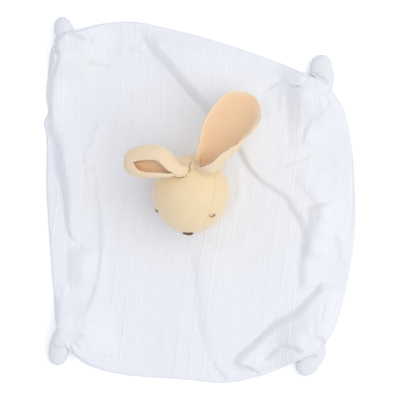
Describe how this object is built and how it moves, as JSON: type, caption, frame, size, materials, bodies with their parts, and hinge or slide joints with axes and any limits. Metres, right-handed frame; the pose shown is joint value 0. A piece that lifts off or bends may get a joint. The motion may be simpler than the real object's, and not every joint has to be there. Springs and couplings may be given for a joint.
{
  "type": "comfort blanket",
  "caption": "Doubled ribbed-knit comfort cloth, lying in soft folds with knotted corners, and a stuffed rabbit head with cupped ears sewn on its middle.",
  "frame": {"origin": "on the floor under the middle of the bounding box, the cloth lying flat", "axes": "+Z up out of the cloth, +Y along its length to the edge that the ears point to, the face towards -Y, +X to the right of a viewer looking down with +Y up"},
  "size_m": [0.3106, 0.3654, 0.1015],
  "materials": {
    "white_knit": "matt ribbed cotton knit",
    "cream_velour": "short soft velour",
    "apricot_lining": "short soft velour",
    "brown_thread": "satin-stitched embroidery thread",
    "white_thread": "matt sewing thread",
    "wadding": "loose polyester fill"
  },
  "bodies": {
    "blanket": {"blanket_back_panel": "white_knit", "blanket_top_panel": "white_knit", "knot_top_left": "white_knit", "knot_top_right": "white_knit", "knot_bottom_left": "white_knit", "knot_bottom_right": "white_knit", "neck_thread": "white_thread"},
    "neck": {"neck_collar": "cream_velour"},
    "head": {"head_filling": "wadding", "head_gusset": "cream_velour", "head_side_left": "cream_velour", "head_side_right": "cream_velour", "nose_embroidery": "brown_thread", "eye_left": "brown_thread", "eye_right": "brown_thread"},
    "ear_left": {"ear_left_outer": "cream_velour", "ear_left_lining": "apricot_lining"},
    "ear_right": {"ear_right_outer": "cream_velour", "ear_right_lining": "apricot_lining"},
    "tail_top_left": {"tail_top_left": "white_knit"},
    "tail_top_right": {"tail_top_right": "white_knit"},
    "tail_bottom_right": {"tail_bottom_right": "white_knit"},
    "tail_bottom_left": {"tail_bottom_left": "white_knit"}
  },
  "joints": [
    {"name": "neck_turn", "type": "hinge", "parent": "blanket", "child": "neck", "pos_m": [-0.0087, 0.0068, 0.0429], "axis": [0, 0, 1], "range_deg": [-40, 40]},
    {"name": "head_nod", "type": "hinge", "parent": "neck", "child": "head", "pos_m": [-0.0087, 0.0068, 0.0429], "axis": [1, 0, 0], "range_deg": [-10, 20]},
    {"name": "ear_left_lift", "type": "hinge", "parent": "head", "child": "ear_left", "pos_m": [-0.01123, 0.02947, 0.07367], "axis": [0.5937, 0.8047, 0], "range_deg": [0, 50]},
    {"name": "ear_right_lift", "type": "hinge", "parent": "head", "child": "ear_right", "pos_m": [0.01345, 0.02138, 0.07054], "axis": [0.9231, -0.3846, 0], "range_deg": [0, 50]},
    {"name": "tail_top_left_lift", "type": "hinge", "parent": "blanket", "child": "tail_top_left", "pos_m": [-0.13442, 0.17164, 0.0143], "axis": [0.9848, 0.1736, 0], "range_deg": [0, 50]},
    {"name": "tail_top_right_lift", "type": "hinge", "parent": "blanket", "child": "tail_top_right", "pos_m": [0.11947, 0.12578, 0.0143], "axis": [0.9945, -0.1045, 0], "range_deg": [0, 50]},
    {"name": "tail_bottom_right_lift", "type": "hinge", "parent": "blanket", "child": "tail_bottom_right", "pos_m": [0.10833, -0.15897, 0.0143], "axis": [-0.9397, 0.342, 0], "range_deg": [0, 50]},
    {"name": "tail_bottom_left_lift", "type": "hinge", "parent": "blanket", "child": "tail_bottom_left", "pos_m": [-0.13446, -0.14775, 0.0143], "axis": [-0.9205, 0.3907, 0], "range_deg": [0, 50]}
  ]
}
